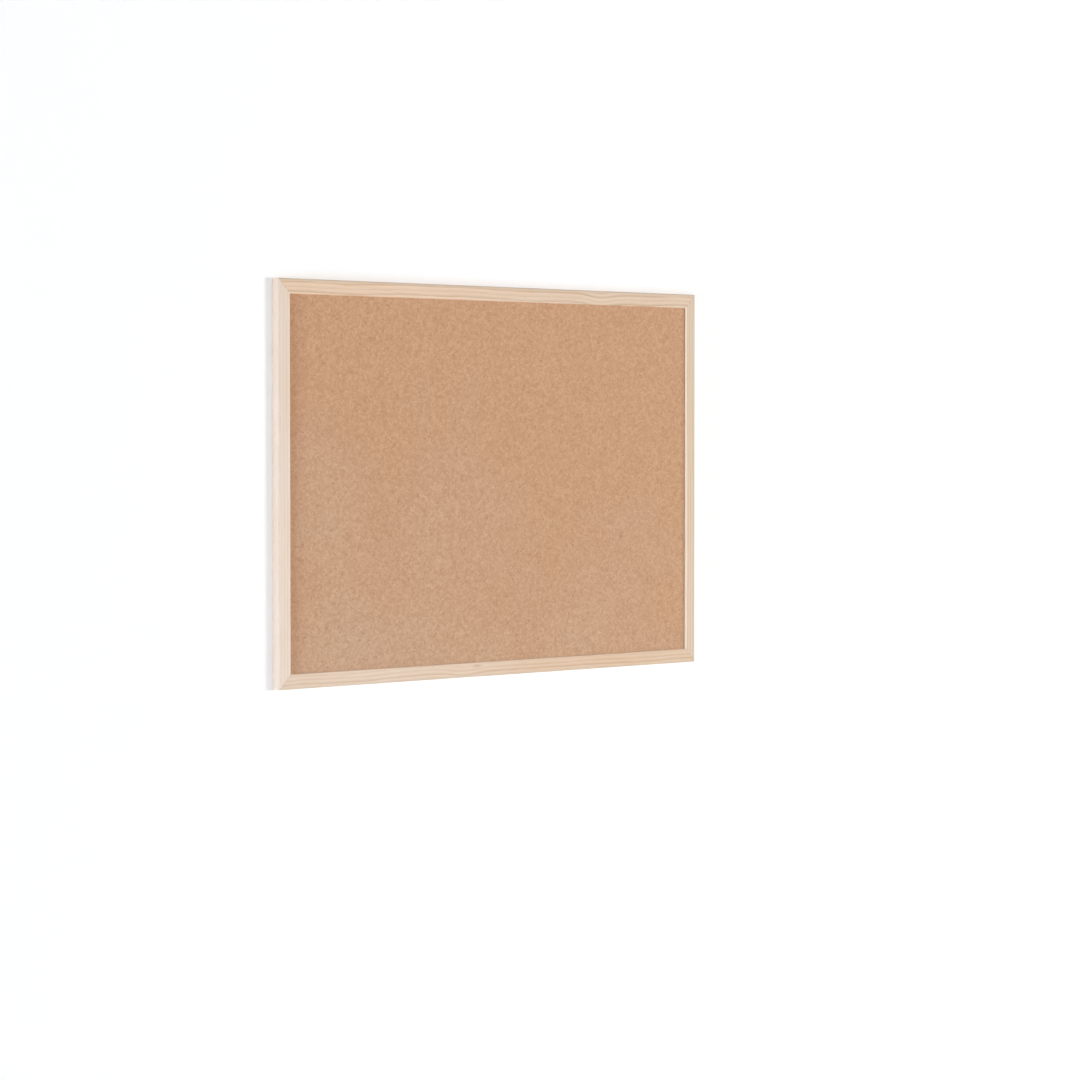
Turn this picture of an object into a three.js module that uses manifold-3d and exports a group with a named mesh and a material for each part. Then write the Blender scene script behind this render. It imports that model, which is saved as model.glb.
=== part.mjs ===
// Wall-hung cork board. A mitred pine frame holds a cork-faced panel of softboard, and two D-rings
// on its back hang it on the wall. Lengths are in millimetres. X runs to the right as the board is
// seen, Z runs up, and the cork faces -Y. The origin is on the back of the top rail, half way along
// the rail and half way across its flat land.

import * as THREE from 'three';
import { mergeVertices } from 'three/addons/utils/BufferGeometryUtils.js';
import Module from 'manifold-3d';

const wasm = await Module();
wasm.setup();

// Whole board
const boardWidth = 600;
const boardHeight = 400;

// Clearances that several pieces share
const glueLine = 0.1; // film of glue between two glued faces
const seatGap = 0.05; // between two faces that only rest on each other
const driveFit = 0.05; // round a fastener that is driven into the wood
const cutOverrun = 1; // how far a cut runs past the face that it opens

// Rails, seen in section
const railFace = 15; // width of the face
const rabbetWidth = 4; // how far the lip reaches over the panel
const corkRecess = 1.8; // thickness of the lip, and so the depth of the cork behind the face
const frontArris = 1.9; // rounding between the face and the outer side
const lipArris = 1.4; // rounding between the face and the lip's edge
const backArris = 0.6; // rounding between the outer side and the back
const arrisFacets = 3;
const woodBehindPoints = 1.55; // left between the framing points' slots and the back

// Panel
const panelPlay = 0.5; // between the panel's edges and the rabbet's walls
const corkThickness = 2;
const coreThickness = 3.5;
const paperThickness = 0.3;
const paperTrim = 1.5; // how far the paper's edge stays inside the core's edge

// Flat framing points
const pointWidth = 6;
const pointThickness = 0.5;
const pointDriven = 7; // length in the rail
const pointShown = 8; // length over the paper
const pointTaper = 3; // length of the sharp end
const pointFromCorner = 70; // from the board's outer edge to the outermost point of a rail
const pointFromScrew = 25; // from a hanger's screw down to the first point of its rail
const pointsOnLongRail = 4;
const pointsOnShortRail = 3;

// V-nails
const nailLeg = 7;
const nailThickness = 0.8;
const nailDepth = 7;
const nailInset = 4; // from the outer sides to the middle of the V's apex
const nailSunk = 0.3; // how far below the back it is driven

// Hanger straps
const hangerDrop = 70; // from the board's top edge to the eye's axis
const strapWidth = 8;
const strapThickness = 0.7;
const foldGap = 0.1; // between the strap's two folded layers
const eyeRadius = 1.1;
const eyeFacets = 14;
const eyeClosing = THREE.MathUtils.degToRad(50); // how far past its top the eye curls before it turns down
const tabBeyondScrew = 5.2; // from the screw's axis to the round end

// D-rings
const wireRadius = 0.8;
const ringSidePlay = 0.6; // between the strap's sides and the ring's legs
const ringHeadPlay = 0.9; // between the screw's head and the bow, when the ring is folded down
const ringBend = 1.4; // radius at the bar's two corners
const ringButt = 0.4; // gap where the wire's ends meet inside the eye
const ringEdgeMargin = 0.3; // from the ring's side to the board's outer side
const ringRestGap = 0.3; // from the bow to the wood that it leans on
const ringSteps = 40;
const wireFacets = 5;

// Screws
const screwFromEye = 6.4;
const screwLength = 9; // under the head
const screwTip = 2.5;
const shankRadius = 1.3;
const headRadius = 2.5;
const headHeight = 1.6;
const headRoundShares = [[1, 0], [1, 0.4], [0.92, 0.7], [0.7, 0.92], [0.4, 1]];
const screwFacets = 16;
const holePlay = 0.25; // between the shank and the strap's hole
const pilotBeyondTip = 0.3;
const recessArm = 2.6; // length of each bar of the cross recess
const recessWidth = 0.8;
const recessDepth = 1;

// Worked out from the sizes above
const quarterTurn = Math.PI / 2;
const landWidth = railFace - rabbetWidth;
const panelStack = corkThickness + glueLine + coreThickness + glueLine + paperThickness;
const pointLayer = seatGap + pointThickness + driveFit;
const frameDepth = corkRecess + seatGap + panelStack + pointLayer + woodBehindPoints;
const topZ = landWidth / 2;
const middleZ = topZ - boardHeight / 2;
const lipBack = corkRecess - frameDepth;

const pine = new THREE.MeshStandardMaterial({
  color: '#e3cbb0', roughness: 0.62, metalness: 0, flatShading: true,
});
const cork = new THREE.MeshStandardMaterial({
  color: '#c59e7f', roughness: 0.92, metalness: 0, flatShading: true,
});
const softboard = new THREE.MeshStandardMaterial({
  color: '#a98c66', roughness: 0.95, metalness: 0, flatShading: true,
});
const kraftPaper = new THREE.MeshStandardMaterial({
  color: '#b9966b', roughness: 0.85, metalness: 0, flatShading: true,
});
const zincPlatedSteel = new THREE.MeshStandardMaterial({
  color: '#c3c6c9', roughness: 0.32, metalness: 1, flatShading: true,
});
const blueSteel = new THREE.MeshStandardMaterial({
  color: '#8f9196', roughness: 0.42, metalness: 1, flatShading: true,
});

const board = new THREE.Group();

function addPiece(parent, name, geometry, material, place = new THREE.Matrix4()) {
  const piece = new THREE.Mesh(geometry, material);
  piece.name = name;
  piece.applyMatrix4(place);
  parent.add(piece);
}

function placeAt(x, y, z, turn = 0) {
  return new THREE.Matrix4().makeRotationY(turn).setPosition(x, y, z);
}

// A closed mesh as a solid that can be cut. Triangles that have shrunk to a line are left out.
function solidOf(geometry) {
  const bare = geometry.clone();
  bare.deleteAttribute('normal');
  bare.deleteAttribute('uv');
  const merged = mergeVertices(bare);
  const corners = merged.index.array;
  const triangles = [];
  for (let i = 0; i < corners.length; i += 3) {
    const triangle = [corners[i], corners[i + 1], corners[i + 2]];
    if (new Set(triangle).size === triangle.length) {
      triangles.push(...triangle);
    }
  }
  return new wasm.Manifold(new wasm.Mesh({
    numProp: 3,
    vertProperties: merged.getAttribute('position').array,
    triVerts: new Uint32Array(triangles),
  }));
}

function geometryOf(solid) {
  const mesh = solid.getMesh();
  const geometry = new THREE.BufferGeometry();
  geometry.setAttribute('position', new THREE.BufferAttribute(mesh.vertProperties, 3));
  geometry.setIndex(new THREE.BufferAttribute(mesh.triVerts, 1));
  return geometry;
}

function cutAway(geometry, tools) {
  let solid = solidOf(geometry);
  for (const tool of tools) {
    solid = solid.subtract(solidOf(tool));
  }
  return geometryOf(solid);
}

function outline(corners) {
  return new THREE.Shape(corners.map(([x, y]) => new THREE.Vector2(x, y)));
}

// A flat plate whose outline is drawn in X and Z. Its back is at y = 0 and it reaches to -thickness.
function plate(shape, thickness, facets = arrisFacets) {
  const geometry = new THREE.ExtrudeGeometry(shape, {
    depth: thickness, bevelEnabled: false, curveSegments: facets,
  });
  return geometry.rotateX(quarterTurn);
}

function spread(first, last, count) {
  return Array.from({ length: count }, (_, i) => THREE.MathUtils.lerp(first, last, i / (count - 1)));
}

// V-nails: an L of steel strip, its apex on the mitre and a leg in each rail
function vNail(fit) {
  const half = nailThickness / 2 + fit;
  const reach = nailLeg + fit;
  const strip = outline([
    [-half, -half], [reach, -half], [reach, half], [half, half], [half, reach], [-half, reach],
  ]);
  return plate(strip, nailDepth + fit);
}

const frameCorners = [
  { name: 'bottom_left', x: -1, z: -1 },
  { name: 'bottom_right', x: 1, z: -1 },
  { name: 'top_right', x: 1, z: 1 },
  { name: 'top_left', x: -1, z: 1 },
];

const nailPlaces = frameCorners.map(({ x, z }, turn) => placeAt(
  x * (boardWidth / 2 - nailInset),
  -nailSunk,
  middleZ + z * (boardHeight / 2 - nailInset),
  -turn * quarterTurn,
));

frameCorners.forEach(({ name }, i) => {
  addPiece(board, `${name}_v_nail`, vNail(0), blueSteel, nailPlaces[i]);
});

// Each V-nail's slot stays open to the back, because the nail is driven below it
function nailSlot(place) {
  const slot = vNail(driveFit).applyMatrix4(place);
  const mouth = vNail(driveFit).translate(0, nailSunk, 0).applyMatrix4(place);
  return [slot, mouth];
}

// Hangers: where they sit, and the ring's proportions round the strap and its screw
const ringInnerHalf = strapWidth / 2 + ringSidePlay;
const ringHalf = ringInnerHalf + wireRadius;
const ringLeg = screwFromEye + headRadius + ringHeadPlay - ringInnerHalf;
const ringReach = ringLeg + ringHalf;
const hangerX = boardWidth / 2 - (ringHalf + wireRadius + ringEdgeMargin);
const hangerZ = topZ - hangerDrop;
const screwZ = hangerZ - screwFromEye;
const eyeHeight = seatGap + strapThickness + eyeRadius;
const tabTop = seatGap + strapThickness + foldGap + strapThickness;
const screwSeat = tabTop + seatGap;
const pilotDepth = screwLength - screwSeat + pilotBeyondTip;

function pilotHole(side) {
  const length = pilotDepth + cutOverrun;
  const hole = new THREE.CylinderGeometry(
    shankRadius + driveFit, shankRadius + driveFit, length, screwFacets,
  );
  return hole.translate(side * hangerX, cutOverrun - length / 2, screwZ);
}

// Framing points: flat steel tongues, sharp at the end that is driven into the rabbet's wall
function framingPoint(fit) {
  const half = pointWidth / 2 + fit;
  const shoulder = pointDriven - pointTaper;
  const tongue = outline([
    [-half, -pointShown], [half, -pointShown], [half, shoulder],
    [0, pointDriven + fit], [-half, shoulder],
  ]);
  return plate(tongue, pointThickness + 2 * fit);
}

const pointBack = -(woodBehindPoints + driveFit);
const longPlaces = spread(
  pointFromCorner - boardWidth / 2, boardWidth / 2 - pointFromCorner, pointsOnLongRail,
);
const shortPlaces = spread(
  screwZ - pointFromScrew - middleZ, pointFromCorner - boardHeight / 2, pointsOnShortRail,
);

// Rails: one section for all four, with the rabbet behind the lip, cut off at 45 degrees.
// Across holds the distance from the outer side, and along the length is centred on the rail.
function railSection() {
  const section = new THREE.Shape();
  section.moveTo(backArris, 0);
  section.lineTo(landWidth, 0);
  section.lineTo(landWidth, lipBack);
  section.lineTo(railFace, lipBack);
  section.absarc(railFace - lipArris, lipArris - frameDepth, lipArris, 0, -quarterTurn, true);
  section.absarc(frontArris, frontArris - frameDepth, frontArris, -quarterTurn, -2 * quarterTurn, true);
  section.absarc(backArris, -backArris, backArris, 2 * quarterTurn, quarterTurn, true);
  return section;
}

function railBlank(length) {
  const blank = new THREE.ExtrudeGeometry(railSection(), {
    depth: 1, bevelEnabled: false, curveSegments: arrisFacets,
  });
  const position = blank.getAttribute('position');
  for (let i = 0; i < position.count; i += 1) {
    const across = position.getX(i);
    const cutLength = length - 2 * across - glueLine * Math.SQRT2;
    position.setZ(i, (position.getZ(i) - 1 / 2) * cutLength);
  }
  return blank.rotateY(quarterTurn);
}

const rails = [
  { name: 'top', length: boardWidth, x: 0, z: topZ, points: longPlaces },
  { name: 'right', length: boardHeight, x: boardWidth / 2, z: middleZ, points: shortPlaces.map((s) => -s) },
  { name: 'bottom', length: boardWidth, x: 0, z: topZ - boardHeight, points: longPlaces },
  { name: 'left', length: boardHeight, x: -boardWidth / 2, z: middleZ, points: shortPlaces },
];

rails.forEach(({ name, length, x, z, points }, turn) => {
  const place = placeAt(x, 0, z, turn * quarterTurn);
  const intoRail = place.clone().invert();
  const pointPlaces = points.map((along) => placeAt(along, pointBack, -landWidth));
  const slots = pointPlaces.map((at) => framingPoint(driveFit).translate(0, driveFit, 0).applyMatrix4(at));
  const shared = [...nailPlaces.flatMap(nailSlot), pilotHole(-1), pilotHole(1)];
  const cuts = [...slots, ...shared.map((tool) => tool.applyMatrix4(intoRail))];

  const rail = new THREE.Group();
  rail.applyMatrix4(place);
  board.add(rail);
  addPiece(rail, `${name}_rail`, cutAway(railBlank(length), cuts), pine);
  pointPlaces.forEach((at, i) => {
    addPiece(rail, `${name}_framing_point_${i + 1}`, framingPoint(0), zincPlatedSteel, at);
  });
});

// Panel: cork on softboard on kraft paper, laid in from the back until the cork meets the lips
const panelWidth = boardWidth - 2 * (landWidth + panelPlay);
const panelHeight = boardHeight - 2 * (landWidth + panelPlay);
const corkFront = lipBack + seatGap;
const coreFront = corkFront + corkThickness + glueLine;
const paperFront = coreFront + coreThickness + glueLine;

function addSheet(name, front, thickness, trim, material) {
  const sheet = new THREE.BoxGeometry(panelWidth - 2 * trim, thickness, panelHeight - 2 * trim);
  addPiece(board, name, sheet, material, placeAt(0, front + thickness / 2, middleZ));
}

addSheet('cork_sheet', corkFront, corkThickness, 0, cork);
addSheet('softboard_core', coreFront, coreThickness, 0, softboard);
addSheet('backing_paper', paperFront, paperThickness, paperTrim, kraftPaper);

// Hanger strap: a steel strip folded double round the ring's bar. The line through the middle of
// its thickness is drawn in Z and Y, from the lower layer's end, round the eye and back again.
function strapLine() {
  const tabEnd = -(screwFromEye + tabBeyondScrew);
  const lowerLayer = seatGap + strapThickness / 2;
  const upperLayer = tabTop - strapThickness / 2;
  const curl = eyeRadius + strapThickness / 2;
  const line = [new THREE.Vector2(tabEnd, lowerLayer)];
  for (let i = 0; i <= eyeFacets; i += 1) {
    const angle = THREE.MathUtils.lerp(-quarterTurn, quarterTurn + eyeClosing, i / eyeFacets);
    line.push(new THREE.Vector2(curl * Math.cos(angle), eyeHeight + curl * Math.sin(angle)));
  }
  const leaving = line[line.length - 1];
  const slope = (leaving.y - upperLayer) / Math.tan(eyeClosing);
  line.push(new THREE.Vector2(leaving.x - slope, upperLayer));
  line.push(new THREE.Vector2(tabEnd, upperLayer));
  return line;
}

// The outline of a strip of even thickness along a line, with its corners mitred
function stripOutline(line, thickness) {
  const sides = [[], []];
  line.forEach((point, i) => {
    const arriving = point.clone().sub(line[Math.max(i - 1, 0)]).normalize();
    const going = line[Math.min(i + 1, line.length - 1)].clone().sub(point).normalize();
    const along = arriving.clone().add(going).normalize();
    const straight = i === 0 ? going : arriving;
    const reach = thickness / 2 / along.dot(straight);
    sides[0].push(new THREE.Vector2(point.x - along.y * reach, point.y + along.x * reach));
    sides[1].unshift(new THREE.Vector2(point.x + along.y * reach, point.y - along.x * reach));
  });
  return new THREE.Shape([...sides[0], ...sides[1]]);
}

function hangerStrap() {
  const folded = new THREE.ExtrudeGeometry(stripOutline(strapLine(), strapThickness), {
    depth: strapWidth, bevelEnabled: false,
  });
  folded.translate(0, 0, -strapWidth / 2);
  const upright = new THREE.Matrix4().makeBasis(
    new THREE.Vector3(0, 0, 1), new THREE.Vector3(0, 1, 0), new THREE.Vector3(-1, 0, 0),
  );
  folded.applyMatrix4(upright);

  const roundEnd = strapWidth / 2;
  const tall = eyeHeight + eyeRadius + strapThickness + cutOverrun;
  const endCentre = roundEnd - (screwFromEye + tabBeyondScrew);
  const plan = new THREE.Shape();
  plan.moveTo(roundEnd, tall);
  plan.lineTo(-roundEnd, tall);
  plan.absarc(0, endCentre, roundEnd, 2 * quarterTurn, 4 * quarterTurn, false);
  const tab = plate(plan, tall + cutOverrun, screwFacets / 2).translate(0, tall, 0);

  const holeRadius = shankRadius + holePlay;
  const hole = new THREE.CylinderGeometry(holeRadius, holeRadius, 2 * tall, screwFacets);
  hole.translate(0, 0, -screwFromEye);
  return geometryOf(solidOf(folded).intersect(solidOf(tab)).subtract(solidOf(hole)));
}

// D-ring: round wire bent into a D, its ends butted in the middle of the straight bar
function dRing() {
  const bend = new THREE.Path();
  bend.moveTo(ringButt / 2, 0);
  bend.lineTo(ringHalf - ringBend, 0);
  bend.absarc(ringHalf - ringBend, ringBend, ringBend, -quarterTurn, 0, false);
  bend.lineTo(ringHalf, ringLeg);
  bend.absarc(0, ringLeg, ringHalf, 0, 2 * quarterTurn, false);
  bend.lineTo(-ringHalf, ringBend);
  bend.absarc(ringBend - ringHalf, ringBend, ringBend, 2 * quarterTurn, 3 * quarterTurn, false);
  bend.lineTo(-ringButt / 2, 0);
  const path = new THREE.CatmullRomCurve3(
    bend.getSpacedPoints(ringSteps).map(({ x, y }) => new THREE.Vector3(x, 0, y)),
  );
  const wire = new THREE.Shape().absarc(0, 0, wireRadius, 0, 4 * quarterTurn, false);
  return new THREE.ExtrudeGeometry(wire, {
    steps: ringSteps, extrudePath: path, bevelEnabled: false, curveSegments: wireFacets,
  });
}

// Pan-head screw: plain shank with a point, low rounded head and a cross recess
function panHeadScrew() {
  const profile = [
    [0, -screwLength], [shankRadius, screwTip - screwLength], [shankRadius, 0],
    ...headRoundShares.map(([across, up]) => [across * headRadius, up * headHeight]),
    [0, headHeight],
  ];
  const turned = new THREE.LatheGeometry(
    profile.map(([x, y]) => new THREE.Vector2(x, y)), screwFacets,
  );
  const barDepth = recessDepth + cutOverrun;
  const barMiddle = headHeight - recessDepth + barDepth / 2;
  const bars = [
    new THREE.BoxGeometry(recessArm, barDepth, recessWidth).translate(0, barMiddle, 0),
    new THREE.BoxGeometry(recessWidth, barDepth, recessArm).translate(0, barMiddle, 0),
  ];
  return cutAway(turned, bars);
}

// The ring stands up as it does on a wall hook, and leans back until its bow nears the rail
const ringLean = Math.asin((eyeHeight - wireRadius - ringRestGap) / ringReach);

for (const [name, side] of [['left', -1], ['right', 1]]) {
  const hanger = new THREE.Group();
  hanger.position.set(side * hangerX, 0, hangerZ);
  board.add(hanger);
  const ringPlace = new THREE.Matrix4().makeRotationX(ringLean).setPosition(0, eyeHeight, 0);
  addPiece(hanger, `${name}_hanger_strap`, hangerStrap(), zincPlatedSteel);
  addPiece(hanger, `${name}_hanger_screw`, panHeadScrew(), zincPlatedSteel, placeAt(0, screwSeat, -screwFromEye));
  addPiece(hanger, `${name}_hanging_ring`, dRing(), zincPlatedSteel, ringPlace);
}

export default board;
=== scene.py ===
# Wall-hung cork board, dressed piece by piece round its frame of parts. Lengths are in metres, X
# runs to the right as the board is seen, Z runs up, and the cork faces -Y.
import math

import bmesh
import bpy
from mathutils import Matrix, Vector, noise


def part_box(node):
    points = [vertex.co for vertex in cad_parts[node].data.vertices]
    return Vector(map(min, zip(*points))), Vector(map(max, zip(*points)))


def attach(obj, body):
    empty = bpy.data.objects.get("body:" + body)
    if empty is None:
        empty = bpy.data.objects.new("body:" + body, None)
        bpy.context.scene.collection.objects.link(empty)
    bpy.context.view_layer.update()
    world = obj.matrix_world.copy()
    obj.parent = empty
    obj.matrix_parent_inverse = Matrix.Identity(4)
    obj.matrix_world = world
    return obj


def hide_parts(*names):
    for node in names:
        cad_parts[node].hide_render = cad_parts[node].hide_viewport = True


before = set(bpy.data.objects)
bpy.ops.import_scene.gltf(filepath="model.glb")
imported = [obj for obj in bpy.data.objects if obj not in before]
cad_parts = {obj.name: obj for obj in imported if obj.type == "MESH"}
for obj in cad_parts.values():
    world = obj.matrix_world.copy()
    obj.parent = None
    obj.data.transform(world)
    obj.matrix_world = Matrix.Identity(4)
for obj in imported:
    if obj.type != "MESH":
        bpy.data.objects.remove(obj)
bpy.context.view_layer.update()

# Rails
# Four lengths of clear pine moulding, sanded and matt-lacquered. Each is cut at 45 degrees and
# glued to its neighbours, and its rabbet takes the panel from behind.
MM = 0.001
top_low, top_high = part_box("top_rail")
bottom_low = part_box("bottom_rail")[0]
cork_low, cork_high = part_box("cork_sheet")
whole_low = Vector((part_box("left_rail")[0].x, bottom_low.y, bottom_low.z))
whole_high = Vector((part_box("right_rail")[1].x, top_high.y, top_high.z))
middle = (whole_low + whole_high) / 2
half_size = (whole_high - whole_low) / 2
rail_face = top_high.z - top_low.z
rail_front = whole_low.y
seat_gap = 0.05 * MM
drive_fit = 0.05 * MM
glue_line = 0.1 * MM
panel_play = 0.5 * MM
lip_back = cork_low.y - seat_gap
land_width = whole_high.z - cork_high.z - panel_play
front_arris = 1.9 * MM
lip_arris = 1.4 * MM
back_arris = 0.6 * MM
flat_margin = 0.3 * MM
sawn_corner = 0.12 * MM
lip_foot = 0.15 * MM
mitre_arris = 0.16 * MM
arris_steps = 8
rail_stations = 48
sanding_depth = 0.012 * MM
sanding_wave = 45 * MM
pilot_radius = 1.35 * MM
pilot_depth = 7.75 * MM
past_face = 1 * MM
cut_weld = 0.002 * MM
solid_weld = 0.01 * MM
smooth_angle = math.radians(32)

# The way out from the middle of the board for each rail, as X and Z
rail_sides = {"top": (0, 1), "right": (1, 0), "bottom": (0, -1), "left": (-1, 0)}


def board_point(side, along, across, y):
    """A place on a rail: along it from its middle, and across it from its outer side."""
    out_x, out_z = rail_sides[side]
    reach = (half_size.x if out_x else half_size.z) - across
    return Vector((
        middle.x + out_x * reach + out_z * along,
        y,
        middle.z + out_z * reach - out_x * along,
    ))


def arc(centre, radius, start, end, steps):
    angles = [math.radians(start + (end - start) * i / steps) for i in range(steps + 1)]
    return [Vector((centre[0] + radius * math.cos(a), centre[1] + radius * math.sin(a))) for a in angles]


def cut_corner(corner, before, after, size):
    """The two points that a corner leaves when it is cut off."""
    corner = Vector(corner)
    return [corner + (Vector(end) - corner).normalized() * size for end in (before, after)]


def offset_inwards(outline, depth):
    """Moves each point of a closed outline to the right of the way it runs."""
    moved = []
    for i, point in enumerate(outline):
        arriving = (point - outline[i - 1]).normalized()
        going = (outline[(i + 1) % len(outline)] - point).normalized()
        along = (arriving + going).normalized()
        moved.append(point + Vector((along.y, -along.x)) * depth / along.dot(going))
    return moved


def rail_section():
    """The moulding in section, as distance from the outer side and Y, from the back round the lip."""
    rabbet = (land_width, lip_back)
    return [
        *cut_corner((land_width, 0), (0, 0), rabbet, sawn_corner),
        Vector(rabbet),
        *cut_corner((rail_face, lip_back), rabbet, (rail_face, rail_front), lip_foot),
        *arc((rail_face - lip_arris, rail_front + lip_arris), lip_arris, 0, -90, arris_steps),
        Vector((rail_face - lip_arris - flat_margin, rail_front)),
        Vector((front_arris + flat_margin, rail_front)),
        *arc((front_arris, rail_front + front_arris), front_arris, -90, -180, arris_steps),
        Vector((0, rail_front + front_arris + flat_margin)),
        Vector((0, -back_arris - flat_margin)),
        *arc((back_arris, -back_arris), back_arris, 180, 90, arris_steps),
        Vector((back_arris + flat_margin, 0)),
    ]


def new_object(name, data, material=None):
    thing = bpy.data.objects.new(name, data)
    bpy.context.scene.collection.objects.link(thing)
    if material:
        data.materials.append(material)
    return thing


def finished_mesh(name, mesh):
    data = bpy.data.meshes.new(name)
    mesh.to_mesh(data)
    mesh.free()
    return data


def rings_mesh(name, rings):
    """A closed skin over rings of points, each with as many points, and a face on both ends."""
    mesh = bmesh.new()
    rows = [[mesh.verts.new(point) for point in ring] for ring in rings]
    for row, following in zip(rows, rows[1:]):
        for i in range(len(row)):
            k = (i + 1) % len(row)
            mesh.faces.new((row[i], row[k], following[k], following[i]))
    mesh.faces.new(reversed(rows[0]))
    mesh.faces.new(rows[-1])
    bmesh.ops.recalc_face_normals(mesh, faces=mesh.faces)
    return finished_mesh(name, mesh)


def as_built(thing):
    """The mesh that an object's modifiers, or a curve's settings, give it."""
    bpy.context.view_layer.update()
    evaluated = thing.evaluated_get(bpy.context.evaluated_depsgraph_get())
    return bpy.data.meshes.new_from_object(evaluated)


def settle(piece):
    """Turns a piece's modifiers into its own mesh."""
    old = piece.data
    piece.data = as_built(piece)
    piece.modifiers.clear()
    bpy.data.meshes.remove(old)


def cut(piece, tool, operation="DIFFERENCE"):
    """Cuts a piece with a tool, which is thrown away after."""
    boolean = piece.modifiers.new("cut", "BOOLEAN")
    boolean.operation = operation
    boolean.solver = "EXACT"
    boolean.object = tool
    weld = piece.modifiers.new("weld", "WELD")
    weld.merge_threshold = cut_weld
    settle(piece)
    bpy.data.objects.remove(tool)


def finish_surface(piece, angle=smooth_angle):
    """Smooth shading with sharp corners, in which the flats stay flat right up to their arrises."""
    piece.data.shade_smooth()
    piece.data.set_sharp_from_angle(angle=angle)
    flats = piece.modifiers.new("flats", "WEIGHTED_NORMAL")
    flats.keep_sharp = True
    flats.weight = 100
    settle(piece)


def driven_slot(node, open_to_back):
    """A tool that cuts the room for a fastener driven into the wood, from the fastener's own place."""
    mesh = bmesh.new()
    mesh.from_mesh(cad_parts[node].data)
    bmesh.ops.remove_doubles(mesh, verts=mesh.verts, dist=solid_weld)
    bmesh.ops.recalc_face_normals(mesh, faces=mesh.faces)
    back = max(vert.co.y for vert in mesh.verts)
    for vert in mesh.verts:
        at_back = back - vert.co.y < seat_gap
        vert.co += vert.normal * drive_fit * math.sqrt(3)
        if open_to_back and at_back:
            vert.co.y = past_face
    return new_object(node + "_slot", finished_mesh(node + "_slot", mesh))


def ring_round(centre, y, radii):
    """Points one full turn round an axis that runs along Y, each at its own radius."""
    turns = [math.tau * i / len(radii) for i in range(len(radii))]
    return [Vector((centre.x + r * math.cos(a), y, centre.z + r * math.sin(a))) for r, a in zip(radii, turns)]


def round_bar(name, centre, radius, low_y, high_y, steps):
    rings = [ring_round(centre, y, [radius] * steps) for y in (low_y, high_y)]
    return new_object(name, rings_mesh(name, rings))


def waves(spot, length):
    """Soft hills and hollows about this long, from 0 to 1."""
    return 0.5 + 0.5 * noise.noise(spot / length)


def rail_mesh(side):
    """The section swept along the rail, a shade uneven as sanding leaves it, and cut off at 45 degrees."""
    length = 2 * (half_size.x if rail_sides[side][1] else half_size.z)
    section = rail_section()
    softened = offset_inwards(section, mitre_arris)
    rings = []
    for station in range(-1, rail_stations + 2):
        at_end = station in (-1, rail_stations + 1)
        share = min(max(station, 0), rail_stations) / rail_stations - 0.5
        shortened = 0 if at_end else 2 * mitre_arris
        ring = []
        for point, soft in zip(section, softened):
            place = soft if at_end else point
            along = share * (length - 2 * place.x - glue_line * math.sqrt(2) - shortened)
            worn = sanding_depth * waves(board_point(side, along, place.x, place.y), sanding_wave)
            pull = (soft - point).normalized() * (0 if at_end else worn)
            ring.append(board_point(side, along, place.x + pull.x, place.y + pull.y))
        rings.append(ring)
    return rings_mesh(side + "_rail", rings)


def linear(code):
    """An sRGB hex colour as linear light."""
    parts = [int(code[i:i + 2], 16) / 255 for i in (1, 3, 5)]
    light = [part / 12.92 if part <= 0.04045 else ((part + 0.055) / 1.055) ** 2.4 for part in parts]
    return (*light, 1)


def add(tree, kind, links=None, stops=None, **settings):
    """Adds a node. Links give its sockets plain values, hex colours or what other nodes put out, and
    stops are the places and colours, or greys, of a ramp."""
    node = tree.nodes.new("ShaderNode" + kind)
    for name, value in settings.items():
        setattr(node, name, value)
    for key, value in (links or {}).items():
        if isinstance(value, bpy.types.Node):
            value = next(socket for socket in value.outputs if socket.enabled)
        if isinstance(value, bpy.types.NodeSocket):
            tree.links.new(value, node.inputs[key])
        else:
            node.inputs[key].default_value = linear(value) if isinstance(value, str) else value
    for i, (position, colour) in enumerate(stops or ()):
        stop = node.color_ramp.elements[i] if i < 2 else node.color_ramp.elements.new(position)
        stop.position = position
        stop.color = linear(colour) if isinstance(colour, str) else (colour, colour, colour, 1)
    return node


# How a colour goes on: over the one before, or multiplied into it as a glaze
laid_on = {"data_type": "RGBA"}
glazed = {"data_type": "RGBA", "blend_type": "MULTIPLY"}

# Soft noise seldom leaves this range
noise_range = {"From Min": 0.3, "From Max": 0.7}


def new_material(name):
    material = bpy.data.materials.new(name)
    material.use_nodes = True
    material.node_tree.nodes.clear()
    return material, material.node_tree


def in_millimetres(tree, turn=0):
    """Places on the board in millimetres, with the axes turned round Y."""
    place = add(tree, "TexCoord").outputs["Object"]
    return add(tree, "Mapping", {
        "Vector": place, "Scale": (1 / MM, 1 / MM, 1 / MM), "Rotation": (0, math.radians(turn), 0),
    })


def drawn_noise(tree, place, sizes, detail=2.0, roughness=0.5, turn=(0, 0, 0)):
    """Soft noise drawn out to a size along each axis, with the axes turned."""
    drawn = add(tree, "Mapping", {"Vector": place, "Rotation": turn, "Scale": sizes}, vector_type="TEXTURE")
    return add(tree, "TexNoise", {"Vector": drawn, "Scale": 1.0, "Detail": detail, "Roughness": roughness})


def pushed_about(tree, place, by_noise, reach):
    """Places pushed every way by the three colours of a noise, up to half the reach."""
    push = add(tree, "VectorMath", {0: by_noise.outputs["Color"], 1: (0.5, 0.5, 0.5)}, operation="SUBTRACT")
    push = add(tree, "VectorMath", {0: push, "Scale": reach}, operation="SCALE")
    return add(tree, "VectorMath", {0: place, 1: push}, operation="ADD")


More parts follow.
